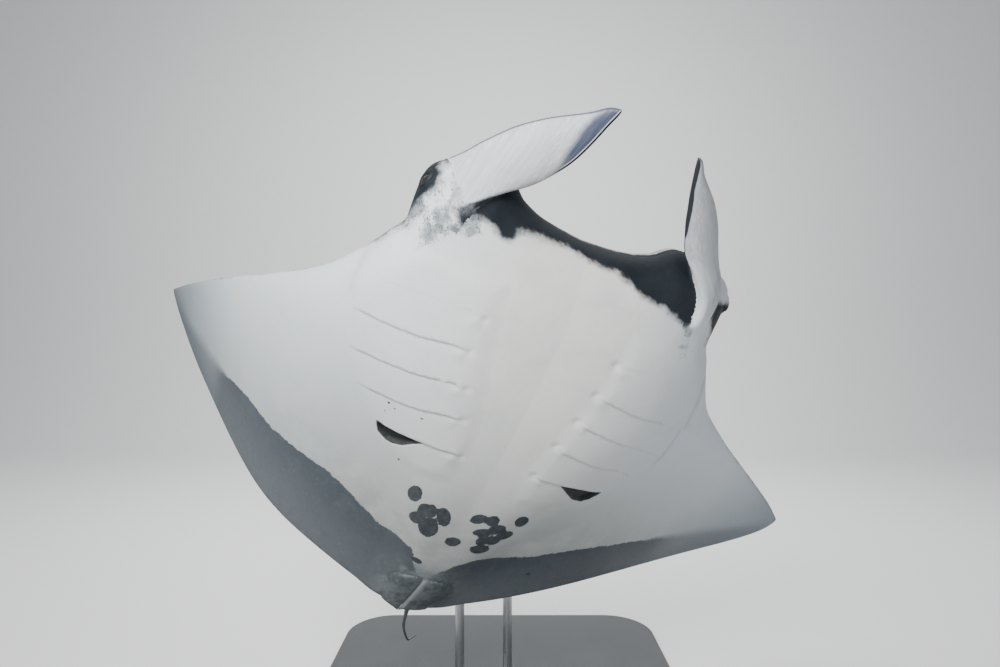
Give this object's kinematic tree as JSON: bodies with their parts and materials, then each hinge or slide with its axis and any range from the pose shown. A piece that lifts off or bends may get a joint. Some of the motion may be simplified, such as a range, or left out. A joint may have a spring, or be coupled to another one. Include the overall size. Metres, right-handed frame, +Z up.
{
  "type": "manta ray model",
  "caption": "Life-size still model of a giant oceanic manta ray, banking with raised wings, held by two bent rods on a flat base.",
  "frame": {"origin": "middle of the underside of the stand's base, on the floor", "axes": "+Z up; the viewer looks along +Y at the belly; +X to the viewer's right, which is the animal's left"},
  "size_m": [3.5017, 2.2979, 2.6324],
  "materials": {
    "skin": "satin skin, pale belly, near-black back",
    "eye": "wet gloss",
    "base_paint": "satin dark grey paint",
    "stand_steel": "brushed"
  },
  "bodies": {
    "root": {"head": "skin", "trunk": "skin", "pectoral_fin_right": "skin", "pectoral_fin_left": "skin", "cephalic_fin_right": "skin", "cephalic_fin_left": "skin", "dorsal_fin": "skin", "tail": "skin", "pelvic_fin_right": "skin", "pelvic_fin_left": "skin", "eye_right": "eye", "eye_left": "eye", "stand_base": "base_paint", "stand_pad_upper": "stand_steel", "stand_pad_lower": "stand_steel", "stand_rod_upper": "stand_steel", "stand_rod_lower": "stand_steel", "stand_collar_upper": "stand_steel", "stand_collar_lower": "stand_steel"}
  },
  "joints": []
}
